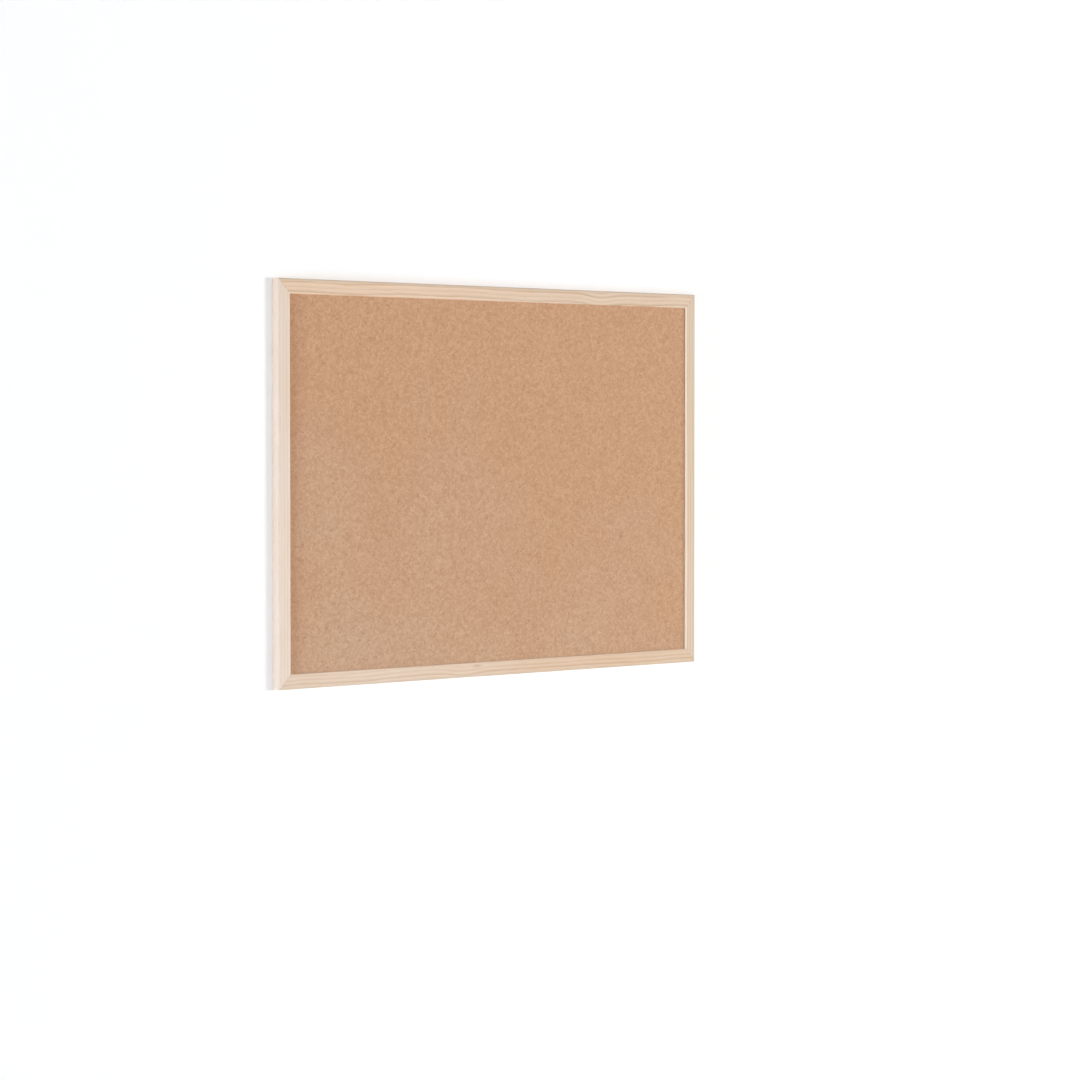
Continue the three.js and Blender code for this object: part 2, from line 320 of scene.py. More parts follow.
# Clear-lacquered Scots pine: pale early wood, tan late-wood lines 3 to 4 mm apart that run with the
# rail and swing round where a branch grew, fine fibres, and a matt film that shows only at the edges.
# Real fibres are a few hundredths of a millimetre wide and are drawn coarser here, so that they show.
def lacquered_pine(side, early, late, end_tint, pith, swing, lip_highlight_share, arris_shade_share, knot=None):
    """Early and late are the colours of a year's wood, and end_tint glazes the right or top end. Pith
    is where the tree's heart lay, swing the place, reach and height of a bend in the grain, and knot
    the place of a small knot, all in millimetres. The lip's and the arris's shares give a painted
    highlight on the lip and painted shade on the outer arris, where it turns from the lamps."""
    ring_spacing = 4.1
    fibre_size = (14, 0.45, 0.45)
    streak_size = (60, 2.2, 2.2)
    broad_size = (90, 14, 14)
    ripple_size = (40, 9, 9)
    ripple_height = 1.2
    wander_length = 170
    wander_reach = 6.4
    knot_length = 9
    knot_width = 1.9
    lip_margin = 0.8
    material, tree = new_material("lacquered_pine_" + side)
    out_x, out_z = rail_sides[side]
    in_mm = in_millimetres(tree, 90 if out_x else 0)
    along, depth, across = add(tree, "SeparateXYZ", {0: in_mm}).outputs

    # How far a place lies from the pith, and so in which year's ring
    slow = add(tree, "CombineXYZ", {0: along, 1: pith[0], 2: pith[1]})
    wandering = add(tree, "TexNoise", {"Vector": slow, "Scale": 1 / wander_length, "Detail": 3.0})
    from_pith = add(tree, "VectorMath", {0: in_mm, 1: (0, *pith)}, operation="SUBTRACT")
    from_pith = pushed_about(tree, from_pith, wandering, wander_reach)
    from_pith = add(tree, "VectorMath", {0: from_pith, 1: (0, 1, 1)}, operation="MULTIPLY")
    radius = add(tree, "VectorMath", {0: from_pith}, operation="LENGTH").outputs["Value"]
    bend_at, bend_reach, bend_height = swing
    bend = add(tree, "Math", {0: along, 1: bend_at}, operation="SUBTRACT")
    bend = add(tree, "Math", {0: bend, 1: bend_reach}, operation="DIVIDE")
    bend = add(tree, "Math", {0: bend, 1: bend}, operation="MULTIPLY")
    bend = add(tree, "Math", {0: 1 / math.e, 1: bend}, operation="POWER")
    radius = add(tree, "Math", {0: bend, 1: bend_height, 2: radius}, operation="MULTIPLY_ADD")
    ripple = drawn_noise(tree, in_mm, ripple_size)
    radius = add(tree, "Math", {0: ripple, 1: ripple_height, 2: radius}, operation="MULTIPLY_ADD")

    # The share of late wood, which grows through the year and is stronger in some years
    rings = add(tree, "Math", {0: radius, 1: ring_spacing}, operation="DIVIDE")
    in_ring = add(tree, "Math", {0: rings}, operation="FRACT")
    growth = add(tree, "ValToRGB", {0: in_ring}, stops=[
        (0.0, 0.06), (0.3, 0.1), (0.7, 0.6), (0.88, 1.0), (1.0, 0.1),
    ])
    year = add(tree, "Math", {0: rings}, operation="FLOOR")
    year = add(tree, "TexWhiteNoise", {"W": year}, noise_dimensions="1D").outputs["Value"]
    strength = add(tree, "MapRange", {"Value": year, "To Min": 0.45})
    late_share = add(tree, "Math", {0: growth, 1: strength}, operation="MULTIPLY")
    fibres = drawn_noise(tree, in_mm, fibre_size, detail=3.0, roughness=0.6)
    fibre_tone = add(tree, "MapRange", {"Value": fibres, **noise_range, "To Min": -0.16, "To Max": 0.16})
    late_share = add(tree, "Math", {0: late_share, 1: fibre_tone}, operation="ADD")
    colour = add(tree, "Mix", {0: late_share, 6: early, 7: late}, **laid_on)

    # Warmer clouds, pale streaks, and the slow change of tone towards one end
    broad = drawn_noise(tree, in_mm, broad_size)
    warmth = add(tree, "MapRange", {"Value": broad, **noise_range, "To Max": 0.5})
    streaks = drawn_noise(tree, in_mm, streak_size)
    streaks = add(tree, "MapRange", {"Value": streaks, "From Min": 0.5, "From Max": 0.75, "To Max": 0.5})
    mid_rail, half_length = (middle.z, half_size.z) if out_x else (middle.x, half_size.x)
    near_end = add(tree, "MapRange", {
        "Value": along, "From Min": (mid_rail - 0.5 * half_length) / MM,
        "From Max": (mid_rail + 0.6 * half_length) / MM,
    }, interpolation_type="SMOOTHSTEP")
    layers = [(warmth, "#FBF1E2", glazed), (streaks, early, laid_on), (near_end, end_tint, glazed)]

    if knot:
        from_knot = add(tree, "VectorMath", {0: in_mm, 1: (knot[0], 0, knot[1])}, operation="SUBTRACT")
        shrink = (1 / knot_length, 0, 1 / knot_width)
        from_knot = add(tree, "VectorMath", {0: from_knot, 1: shrink}, operation="MULTIPLY")
        from_knot = add(tree, "VectorMath", {0: from_knot}, operation="LENGTH").outputs["Value"]
        from_knot = add(tree, "Math", {0: ripple, 1: 0.8, 2: from_knot}, operation="MULTIPLY_ADD")
        smudge = add(tree, "MapRange", {
            "Value": from_knot, "From Min": 0.5, "From Max": 1.6, "To Min": 0.7, "To Max": 0.0,
        }, interpolation_type="SMOOTHSTEP")
        layers.append((smudge, "#BFA38A", laid_on))

    # A painted highlight on the lip, and painted shade on the outer arris where it turns from the lamps
    reach = middle.x * out_x + middle.z * out_z + (half_size.x if out_x else half_size.z)
    from_side = add(tree, "Math", {0: across, 1: out_x - out_z, 2: reach / MM}, operation="MULTIPLY_ADD")
    painted_lip_highlight = add(tree, "MapRange", {
        "Value": from_side, "From Min": (rail_face - lip_arris) / MM - lip_margin,
        "From Max": rail_face / MM - lip_margin, "To Max": lip_highlight_share,
    })
    # Painted shade: the outer arris is darkened and greyed where it turns away from the lamps
    from_corner = add(tree, "Math", {0: depth, 1: from_side}, operation="ADD")
    arris_middle = (rail_front + front_arris) / MM
    painted_arris_shade = add(tree, "MapRange", {
        "Value": from_corner, "From Min": arris_middle - 0.5, "From Max": arris_middle + 1.0,
        "To Min": arris_shade_share, "To Max": 0.0,
    })
    layers += [(painted_lip_highlight, "#FFE8D0", laid_on), (painted_arris_shade, "#D3BFAB", laid_on)]
    for share, shade, how in layers:
        colour = add(tree, "Mix", {0: share, 6: colour, 7: shade}, **how)

    relief = add(tree, "Math", {0: late_share, 1: 0.6, 2: fibres}, operation="MULTIPLY_ADD")
    bump = add(tree, "Bump", {"Height": relief, "Strength": 0.35, "Distance": 0.06 * MM})
    rough = add(tree, "MapRange", {"Value": fibres, **noise_range, "To Min": 0.6, "To Max": 0.74})
    surface = add(tree, "BsdfPrincipled", {
        "Base Color": colour, "Roughness": rough, "IOR": 1.45, "Normal": bump,
    })
    add(tree, "OutputMaterial", {"Surface": surface})
    return material


# Each rail comes from its own plank and is faded in its own way, and its lip and outer arris get
# their own painted highlight and painted shade
planks = {
    "top": {
        "early": "#E6CBB2", "late": "#C9A787", "end_tint": "#F8FBFF", "pith": (26, 65),
        "swing": (152, 24, -3.2), "lip_highlight_share": 0.0, "arris_shade_share": 0.6,
    },
    "right": {
        "early": "#E0CAB6", "late": "#CEB396", "end_tint": "#F9FAF7", "pith": (-18, 58),
        "swing": (-60, 60, 1.2), "lip_highlight_share": 0.85, "arris_shade_share": 0.85,
    },
    "bottom": {
        "early": "#E5CFBB", "late": "#CEAF92", "end_tint": "#F8F1E8", "pith": (44, 40),
        "swing": (-50, 24, -3.6), "lip_highlight_share": 0.1, "arris_shade_share": 0.5, "knot": (-32, -383.4),
    },
    "left": {
        "early": "#EBDACC", "late": "#E0CAB8", "end_tint": "#FAF9F8", "pith": (-30, 66),
        "swing": (40, 80, 1.0), "lip_highlight_share": 0.4, "arris_shade_share": 0.0,
    },
}
nails = ["bottom_left", "bottom_right", "top_right", "top_left"]
points_on = {"top": 4, "right": 3, "bottom": 4, "left": 3}

for side, plank in planks.items():
    rail = new_object(side + "_pine_rail", rail_mesh(side), lacquered_pine(side, **plank))
    for corner in nails:
        if side in corner:
            cut(rail, driven_slot(corner + "_v_nail", open_to_back=True))
    for i in range(points_on[side]):
        cut(rail, driven_slot(f"{side}_framing_point_{i + 1}", open_to_back=False))
    if side in ("left", "right"):
        low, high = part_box(side + "_hanger_screw")
        cut(rail, round_bar("pilot", (low + high) / 2, pilot_radius, past_face, -pilot_depth, steps=32))
    finish_surface(rail)
    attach(rail, "board")
    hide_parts(side + "_rail")

# V-nails
# Four L-shaped strips of bare rolled steel, one across each mitre. They are driven in from the back
# until they lie just below it, and their front edges are ground sharp.
nail_strip = 0.8 * MM
nail_edge = 0.2 * MM
nail_grind = 1.4 * MM
nail_rounding = 0.06 * MM


def nail_outline(low, high, side_x, side_z, strip):
    """The L in X and Z. Its apex points at the board's corner, and its strip narrows to the ground edge."""
    apex = Vector((high.x if side_x > 0 else low.x, high.z if side_z > 0 else low.z))
    leg = high.x - low.x
    near = (nail_strip - strip) / 2
    far = near + strip
    inwards = [(near, near), (leg, near), (leg, far), (far, far), (far, leg), (near, leg)]
    return [Vector((apex.x - side_x * x, apex.y - side_z * z)) for x, z in inwards]


def round_edges(piece, width, angle=30):
    bevel = piece.modifiers.new("rounding", "BEVEL")
    bevel.width = width
    bevel.segments = 2
    bevel.limit_method = "ANGLE"
    bevel.angle_limit = math.radians(angle)
    settle(piece)


# Bare rolled strip: grey steel with fine lines from the rolls and a brown film of oil in places, so
# it glints dully and never mirrors. The lines are drawn coarser than real ones, so that they show.
def rolled_strip():
    roll_spacing = 0.15 * MM
    roll_length = 6 * MM
    patch = 2.5 * MM
    material, tree = new_material("bare_rolled_strip")
    place = add(tree, "TexCoord").outputs["Object"]
    lines = drawn_noise(tree, place, (roll_spacing, roll_length, roll_spacing))
    patches = add(tree, "TexNoise", {"Vector": place, "Scale": 1 / patch, "Detail": 4.0})
    film = add(tree, "MapRange", {"Value": patches, "From Min": 0.4, "From Max": 0.7, "To Max": 0.7})
    colour = add(tree, "Mix", {0: film, 6: "#8F9196", 7: "#77716B"}, **laid_on)
    rough = add(tree, "MapRange", {"Value": lines, **noise_range, "To Min": 0.36, "To Max": 0.52})
    bump = add(tree, "Bump", {"Height": lines, "Strength": 0.3, "Distance": 0.02 * MM})
    surface = add(tree, "BsdfPrincipled", {
        "Base Color": colour, "Metallic": 1.0, "Roughness": rough, "Normal": bump,
    })
    add(tree, "OutputMaterial", {"Surface": surface})
    return material


nail_steel = rolled_strip()

for corner in nails:
    low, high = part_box(corner + "_v_nail")
    side_x = 1 if "right" in corner else -1
    side_z = 1 if "top" in corner else -1
    levels = [(low.y, nail_edge), (low.y + nail_grind, nail_strip), (high.y, nail_strip)]
    rings = [
        [Vector((x, y, z)) for x, z in nail_outline(low, high, side_x, side_z, strip)] for y, strip in levels
    ]
    nail = new_object(corner + "_steel_v_nail", rings_mesh(corner + "_v_nail", rings), nail_steel)
    round_edges(nail, nail_rounding)
    finish_surface(nail)
    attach(nail, "board")
    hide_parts(corner + "_v_nail")

# Cork
# A 2 mm sheet sliced from a block of pressed cork granules and sanded. It is glued on the softboard,
# and its front bears against the lips of the rails.
cork_step = 2.0 * MM
granule = 1.7 * MM
granule_relief = 0.1 * MM
swell = 55 * MM
swell_relief = 0.05 * MM
void_spacing = 11 * MM
void_radius = 2.2 * MM
void_depth = 0.4 * MM
void_share = 0.3
void_shuffle = 7.3
knife_edge = 0.15 * MM


def axis_places(low, high, step, edge):
    """Grid places along one side of a sheet, with a narrow first and last step at its edges."""
    count = round((high - low - 2 * edge) / step)
    inner = [low + edge + (high - low - 2 * edge) * i / count for i in range(count + 1)]
    return [low, *inner, high]


def sheet_mesh(name, low, high, step, edge, front, back=None):
    """A closed sheet. Front and back say how far each place of a face lies below its plane, and a
    back that isn't given is flat and made of long strips."""
    xs = axis_places(low.x, high.x, step, edge)
    zs = axis_places(low.z, high.z, step, edge)
    last_x, last_z = len(xs) - 1, len(zs) - 1
    mesh = bmesh.new()
    hollow = mesh.verts.layers.float.new("hollow")

    def face_verts(y, inwards, relief):
        verts = {}
        for i, x in enumerate(xs):
            for k, z in enumerate(zs):
                on_rim = i in (0, last_x) or k in (0, last_z)
                if on_rim or relief:
                    depth = edge if on_rim else relief(x, z)
                    verts[i, k] = mesh.verts.new((x, y + inwards * depth, z))
                    verts[i, k][hollow] = depth / MM
        return verts

    fronts = face_verts(low.y, 1, front)
    backs = face_verts(high.y, -1, back)
    for i in range(last_x):
        for k in range(last_z):
            corners = [(i, k), (i + 1, k), (i + 1, k + 1), (i, k + 1)]
            mesh.faces.new([fronts[corner] for corner in corners])
            if back:
                mesh.faces.new([backs[corner] for corner in reversed(corners)])
        if not back:
            up = [(i + 1, k) for k in (range(last_z + 1) if i + 1 == last_x else (0, last_z))]
            down = [(i, k) for k in (range(last_z, -1, -1) if i == 0 else (last_z, 0))]
            mesh.faces.new([backs[corner] for corner in reversed(up + down)])
    rim = [(i, 0) for i in range(last_x)] + [(last_x, k) for k in range(last_z)]
    rim += [(last_x - i, last_z) for i in range(last_x)] + [(0, last_z - k) for k in range(last_z)]
    for here, there in zip(rim, rim[1:] + rim[:1]):
        mesh.faces.new((fronts[there], fronts[here], backs[here], backs[there]))
    return finished_mesh(name, mesh)


def cork_relief(x, z):
    """Granules stand a little proud of their joints, and here and there one has been torn out."""
    spot = Vector((x, 0, z))
    joint = min(noise.voronoi(spot / granule)[0][0], 1)
    nearest, centres = noise.voronoi(spot / void_spacing)
    torn = noise.cell(centres[0] * void_shuffle) < void_share
    void = max(0, 1 - (nearest[0] * void_spacing / void_radius) ** 2) if torn else 0
    return swell_relief * waves(spot, swell) + granule_relief * joint + void_depth * void


# Pressed cork: granules of 1 to 3 mm in many close tans, darker in the joints between them, with
# sparse flecks of bark. Sanded and left bare, so it is dull and dry with no highlight.
def pressed_cork():
    small_granule = 1.15
    large_granule = 2.4
    granule_shove = 1.6
    shoves_per_mm = 0.9
    pores_per_mm = 2.6
    clump = 6
    drift = 130
    paling_per_mm = (-0.0004, 0, -0.0018)
    lip_place = (half_size.x - rail_face) / MM
    material, tree = new_material("pressed_cork")
    in_mm = in_millimetres(tree)
    shove = add(tree, "TexNoise", {"Vector": in_mm, "Scale": shoves_per_mm, "Detail": 2.0})
    shoved = pushed_about(tree, in_mm, shove, granule_shove)

    # Each granule's own tan, large ones with small ones in them, in clumps of a few
    large = add(tree, "TexVoronoi", {"Vector": shoved, "Scale": 1 / large_granule})
    small = add(tree, "TexVoronoi", {"Vector": shoved, "Scale": 1 / small_granule})
    large_tone = add(tree, "SeparateColor", {0: large.outputs["Color"]})
    small_tone = add(tree, "SeparateColor", {0: small.outputs["Color"]})
    tone = add(tree, "Mix", {0: 0.42, 2: large_tone, 3: small_tone})
    clumps = add(tree, "TexNoise", {"Vector": in_mm, "Scale": 1 / clump, "Detail": 3.0, "Roughness": 0.6})
    tone = add(tree, "Mix", {0: 0.35, 2: tone, 3: clumps})
    colour = add(tree, "ValToRGB", {0: tone}, stops=[
        (0.1, "#BA9173"), (0.32, "#C49C7E"), (0.5, "#CAA486"), (0.68, "#CFAA8C"), (0.9, "#D6B497"),
    ])

    # Daylight has paled the lower part, a strip beside the left rail is darkened as painted shadow of
    # the rail's lip, and a greyer strip at the right rail's foot is painted shade
    drifting = add(tree, "TexNoise", {"Vector": in_mm, "Scale": 1 / drift, "Detail": 2.0})
    paling = add(tree, "VectorMath", {0: in_mm, 1: paling_per_mm}, operation="DOT_PRODUCT").outputs["Value"]
    paling = add(tree, "Math", {0: paling, 1: drifting}, operation="ADD")
    amber = add(tree, "MapRange", {
        "Value": paling, "From Min": 0.78, "From Max": 1.3, "To Min": 1.0, "To Max": 0.0,
    })
    across = add(tree, "SeparateXYZ", {0: in_mm})
    from_left_lip = add(tree, "Math", {0: across, 1: lip_place}, operation="ADD")
    from_right_lip = add(tree, "Math", {0: lip_place, 1: across}, operation="SUBTRACT")
    # Painted shadow: the cork is darkened beside the left rail's lip, as its shadow falls
    left_lip_painted_shadow = add(tree, "MapRange", {
        "Value": from_left_lip, "From Min": 5.0, "From Max": 26.0, "To Min": 0.42, "To Max": 0.0,
    })
    # Painted shade: a greyer strip of cork along the foot of the right rail's lip
    right_lip_painted_shade = add(tree, "MapRange", {
        "Value": from_right_lip, "From Min": 1.5, "From Max": 5.5, "To Min": 0.5, "To Max": 0.0,
    })

    # Flecks of bark, the joints between granules, and the shade in torn-out places
    bark = add(tree, "MapRange", {
        "Value": small_tone.outputs[1], "From Min": 0.98, "From Max": 0.995, "To Max": 0.42,
    })
    joints = add(tree, "TexVoronoi", {
        "Vector": shoved, "Scale": 1 / large_granule,
    }, feature="DISTANCE_TO_EDGE")
    seam = add(tree, "MapRange", {"Value": joints, "From Max": 0.12, "To Min": 0.2, "To Max": 0.0})
    hollow = add(tree, "Attribute", attribute_name="hollow").outputs["Fac"]
    void = add(tree, "MapRange", {"Value": hollow, "From Min": 0.14, "From Max": 0.5, "To Max": 0.5})
    for share, shade, how in (
        (amber, "#FEF5E9", glazed), (left_lip_painted_shadow, "#E6D6D2", glazed), (right_lip_painted_shade, "#D6DADE", glazed),
        (bark, "#7E5639", laid_on), (seam, "#9A6E4B", laid_on), (void, "#8F6444", laid_on),
    ):
        colour = add(tree, "Mix", {0: share, 6: colour, 7: shade}, **how)

    dome = add(tree, "Math", {0: large.outputs["Distance"], 1: -0.7}, operation="MULTIPLY")
    pores = add(tree, "TexNoise", {
        "Vector": in_mm, "Scale": pores_per_mm, "Detail": 3.0, "Roughness": 0.65,
    })
    height = add(tree, "Math", {0: pores, 1: 0.9, 2: dome}, operation="MULTIPLY_ADD")
    bump = add(tree, "Bump", {"Height": height, "Strength": 0.5, "Distance": 0.16 * MM})
    rough = add(tree, "MapRange", {"Value": tone, "To Min": 0.96, "To Max": 0.84})
    surface = add(tree, "BsdfPrincipled", {
        "Base Color": colour, "Roughness": rough, "IOR": 1.4, "Normal": bump,
    })
    add(tree, "OutputMaterial", {"Surface": surface})
    return material


cork_sheet = sheet_mesh("pressed_cork", cork_low, cork_high, cork_step, knife_edge, cork_relief)
cork = new_object("pressed_cork_sheet", cork_sheet, pressed_cork())
finish_surface(cork)
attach(cork, "board")
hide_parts("cork_sheet")

# Softboard core
# A 3.5 mm sheet of felted wood fibre behind the cork, which takes the points of the pins. Its sawn
# edge shows from behind as a narrow rim round the paper.
core_step = 6 * MM
felt = 9 * MM
felt_relief = 0.04 * MM
felt_layer = 3


def felted(x, z):
    return felt_relief * waves(Vector((x, felt_layer, z)), felt)


def matted(tree, place, fibre_length, fibre_width, turns, detail):
    """Fibres that cross in a sheet: the strongest of noises drawn out several ways."""
    size = (fibre_length, fibre_width, fibre_width)
    mat = drawn_noise(tree, place, size, detail, turn=(0, turns[0], 0))
    for turn in turns[1:]:
        layer = drawn_noise(tree, place, size, detail, turn=(0, turn, 0))
        mat = add(tree, "Math", {0: mat, 1: layer}, operation="MAXIMUM")
    return mat


# Softboard: matted brown wood fibres a few millimetres long, fuzzy where sawn, with no shine at all.
def softboard():
    material, tree = new_material("felted_softboard")
    in_mm = in_millimetres(tree)
    mat = matted(tree, in_mm, fibre_length=2.4, fibre_width=0.26, turns=(0.2, -0.5, 1.0, 1.8), detail=3.0)
    colour = add(tree, "ValToRGB", {0: mat}, stops=[(0.45, "#8E7049"), (0.62, "#A98C66"), (0.8, "#C4AA84")])
    bump = add(tree, "Bump", {"Height": mat, "Strength": 0.8, "Distance": 0.2 * MM})
    surface = add(tree, "BsdfPrincipled", {
        "Base Color": colour, "Roughness": 0.95, "IOR": 1.45, "Normal": bump,
    })
    add(tree, "OutputMaterial", {"Surface": surface})
    return material


core_sheet = sheet_mesh("softboard", *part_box("softboard_core"), core_step, knife_edge, felted, felted)
core = new_object("felted_core_sheet", core_sheet, softboard())
finish_surface(core)
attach(core, "board")
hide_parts("softboard_core")

# Backing paper
# Brown kraft paper glued on the back of the core to keep the panel flat. Its trimmed edge lies just
# inside the core's edge, and damp glue has left it slightly cockled.
paper_step = 4 * MM
paper_edge = 0.03 * MM
cockle = 34 * MM
cockle_relief = 0.06 * MM
cockle_stretch = 0.6
cockle_layer = 9


def cockled(x, z):
    return cockle_relief * waves(Vector((x * cockle_stretch, cockle_layer, z)), cockle)


def glued_down(x, z):
    return 0.0


# Unglazed kraft: mid brown with a faint grain across the sheet, short pale fibres that cross, and a
# dry surface that only just shines at a low angle. The fibres are drawn wider than real ones, so
# that they show.
def kraft():
    cloud = 5
    grain_size = (30, 1, 1.3)
    cockle_width = 28
    material, tree = new_material("unglazed_kraft_paper")
    in_mm = in_millimetres(tree)
    clouds = add(tree, "TexNoise", {"Vector": in_mm, "Scale": 1 / cloud, "Detail": 4.0, "Roughness": 0.6})
    grain = drawn_noise(tree, in_mm, grain_size, detail=3.0)
    fibres = matted(tree, in_mm, fibre_length=1.8, fibre_width=0.22, turns=(0.35, -0.75, 1.3), detail=2.0)
    fibres = add(tree, "Math", {0: fibres, 1: 0.08}, operation="SUBTRACT")
    tone = add(tree, "Mix", {0: 0.22, 2: clouds, 3: grain})
    tone = add(tree, "Mix", {0: 0.5, 2: tone, 3: fibres})
    colour = add(tree, "ValToRGB", {0: tone}, stops=[(0.3, "#AB875B"), (0.5, "#B9966B"), (0.7, "#C5A57B")])
    cockles = add(tree, "TexNoise", {"Vector": in_mm, "Scale": 1 / cockle_width, "Detail": 1.0})
    height = add(tree, "Math", {0: cockles, 1: 12.0, 2: fibres}, operation="MULTIPLY_ADD")
    bump = add(tree, "Bump", {"Height": height, "Strength": 0.6, "Distance": 0.05 * MM})
    rough = add(tree, "MapRange", {"Value": fibres, "To Min": 0.92, "To Max": 0.7})
    surface = add(tree, "BsdfPrincipled", {
        "Base Color": colour, "Roughness": rough, "IOR": 1.45, "Normal": bump,
    })
    add(tree, "OutputMaterial", {"Surface": surface})
    return material


paper_sheet = sheet_mesh("kraft", *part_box("backing_paper"), paper_step, paper_edge, glued_down, cockled)
paper = new_object("kraft_backing_sheet", paper_sheet, kraft())
finish_surface(paper)
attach(paper, "board")
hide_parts("backing_paper")

# Framing points
# Fourteen flat tongues stamped from zinc-plated steel strip and pressed into the rabbet's walls by
# hand. Each holds the panel with the half that stays outside the wood.
point_driven = 7 * MM
point_taper = 3 * MM
point_corner = 1.5 * MM
point_corner_steps = 6
point_burr = 0.07 * MM


def point_outline(half_width, shown):
    """The tongue as places along and across its rail: round corners outside, a sharp end in the wood."""
    shoulder = land_width - (point_driven - point_taper)
    end = land_width + shown
    tip = [(half_width, shoulder), (0, land_width - point_driven), (-half_width, shoulder)]
    inset = half_width - point_corner
    left = arc((-inset, end - point_corner), point_corner, 180, 90, point_corner_steps)
    right = arc((inset, end - point_corner), point_corner, 90, 0, point_corner_steps)
    return [*[Vector(place) for place in tip], *left, *right]


# Bright zinc plate on steel: pale blue-grey with cloudy spangle, faint yellow and blue tints in the
# passivation, and soft mirror glints broken by handling marks, which are drawn wide enough to show.
def zinc_plate():
    cloud = 1.6 * MM
    tint_patch = 4.8 * MM
    scratch_size = (0.12 * MM, 0.12 * MM, 5 * MM)
    material, tree = new_material("bright_zinc_plate")
    place = add(tree, "TexCoord").outputs["Object"]
    clouds = add(tree, "TexNoise", {"Vector": place, "Scale": 1 / cloud, "Detail": 4.0, "Roughness": 0.6})
    tint = add(tree, "TexNoise", {"Vector": place, "Scale": 1 / tint_patch, "Detail": 1.0})
    scratches = drawn_noise(tree, place, scratch_size, detail=1.0, turn=(0.2, 0.5, 0.1))
    colour = add(tree, "ValToRGB", {0: tint}, stops=[(0.35, "#BCC3CC"), (0.5, "#C9CBCC"), (0.65, "#CDC9BD")])
    dull = add(tree, "MapRange", {"Value": clouds, "From Min": 0.45, "From Max": 0.75, "To Max": 0.35})
    colour = add(tree, "Mix", {0: dull, 6: colour, 7: "#A9ADB1"}, **laid_on)
    rough = add(tree, "MapRange", {"Value": clouds, **noise_range, "To Min": 0.24, "To Max": 0.42})
    height = add(tree, "Math", {0: scratches, 1: 0.5, 2: clouds}, operation="MULTIPLY_ADD")
    bump = add(tree, "Bump", {"Height": height, "Strength": 0.25, "Distance": 0.03 * MM})
    surface = add(tree, "BsdfPrincipled", {
        "Base Color": colour, "Metallic": 1.0, "Roughness": rough, "Normal": bump,
    })
    add(tree, "OutputMaterial", {"Surface": surface})
    return material


zinc = zinc_plate()

for side, (out_x, out_z) in rail_sides.items():
    for i in range(points_on[side]):
        node = f"{side}_framing_point_{i + 1}"
        low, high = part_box(node)
        centre = (low + high) / 2 - middle
        along = centre.x * out_z - centre.z * out_x
        size = high - low
        half_width = (size.x if out_z else size.z) / 2
        shown = (size.z if out_z else size.x) - point_driven
        outline = point_outline(half_width, shown)
        rings = [
            [board_point(side, along + place.x, place.y, y) for place in outline] for y in (low.y, high.y)
        ]
        point = new_object(f"{side}_steel_point_{i + 1}", rings_mesh(node, rings), zinc)
        round_edges(point, point_burr)
        finish_surface(point)
        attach(point, "board")
        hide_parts(node)

# Hanger straps
# A zinc-plated steel strip, folded double so that its fold is an eye round the ring's bar. It lies
# on the back of each side rail, held by one screw through both layers.
strap_thickness = 0.7 * MM
fold_gap = 0.1 * MM
fold_bend = 0.5 * MM
eye_radius = 1.1 * MM
eye_closing = math.radians(50)
eye_steps = 36
screw_from_eye = 6.4 * MM
tab_beyond_screw = 5.2 * MM
tab_end = -screw_from_eye - tab_beyond_screw
strap_hole = 1.55 * MM
strap_rounding = 0.12 * MM
round_steps = 40
above_eye = 4 * MM
past_strap = 5 * MM
eye_height = seat_gap + strap_thickness + eye_radius
tab_top = seat_gap + 2 * strap_thickness + fold_gap


def strap_line():
    """The middle of the strip as Z from the eye's axis and Y, from the lower layer round the eye."""
    upper = tab_top - strap_thickness / 2
    curl = eye_radius + strap_thickness / 2
    line = [Vector((tab_end, seat_gap + strap_thickness / 2))]
    line += arc((0, eye_height), curl, -90, 90 + math.degrees(eye_closing), eye_steps)
    leaving = line[-1]
    meeting = Vector((leaving.x - (leaving.y - upper) / math.tan(eye_closing), upper))
    slope = (leaving - meeting).normalized() * fold_bend
    level = Vector((-fold_bend, 0))
    line += [meeting + slope, meeting + level * 0.35 + slope * 0.2, meeting + level, Vector((tab_end, upper))]
    return line


def strip_sides(line, thickness):
    """The outline of a strip of even thickness along a line."""
    sides = ([], [])
    for i, point in enumerate(line):
        arriving = (point - line[max(i - 1, 0)]).normalized()
        going = (line[min(i + 1, len(line) - 1)] - point).normalized()
        along = (arriving + going).normalized()
        reach = thickness / 2 / along.dot(going if i == 0 else arriving)
        sides[0].append(point + Vector((-along.y, along.x)) * reach)
        sides[1].insert(0, point + Vector((along.y, -along.x)) * reach)
    return sides[0] + sides[1]


def tab_plan(half_width, centre, eye_z):
    """Cuts the strap's end round: its plan, from above the eye down and round the screw's end."""
    end = arc((0, half_width + tab_end), half_width, 180, 360, round_steps)
    corners = [Vector((half_width, above_eye)), Vector((-half_width, above_eye)), *end]
    rings = [[Vector((centre + p.x, y, eye_z + p.y)) for p in corners] for y in (-past_face, past_strap)]
    return new_object("tab_plan", rings_mesh("tab_plan", rings))


hanger_sides = ("left", "right")
for side in hanger_sides:
    low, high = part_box(side + "_hanger_strap")
    half_width = (high.x - low.x) / 2
    centre = (low.x + high.x) / 2
    eye_z = high.z - eye_radius - strap_thickness
    outline = strip_sides(strap_line(), strap_thickness)
    rings = [[Vector((x, p.y, eye_z + p.x)) for p in outline] for x in (low.x, high.x)]
    strap = new_object(side + "_folded_strap", rings_mesh(side + "_strap", rings), zinc)
    cut(strap, tab_plan(half_width, centre, eye_z), "INTERSECT")
    hole_centre = Vector((centre, 0, eye_z - screw_from_eye))
    cut(strap, round_bar("hole", hole_centre, strap_hole, -past_face, past_strap, steps=48))
    round_edges(strap, strap_rounding, angle=40)
    finish_surface(strap)
    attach(strap, "board")
    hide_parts(side + "_hanger_strap")

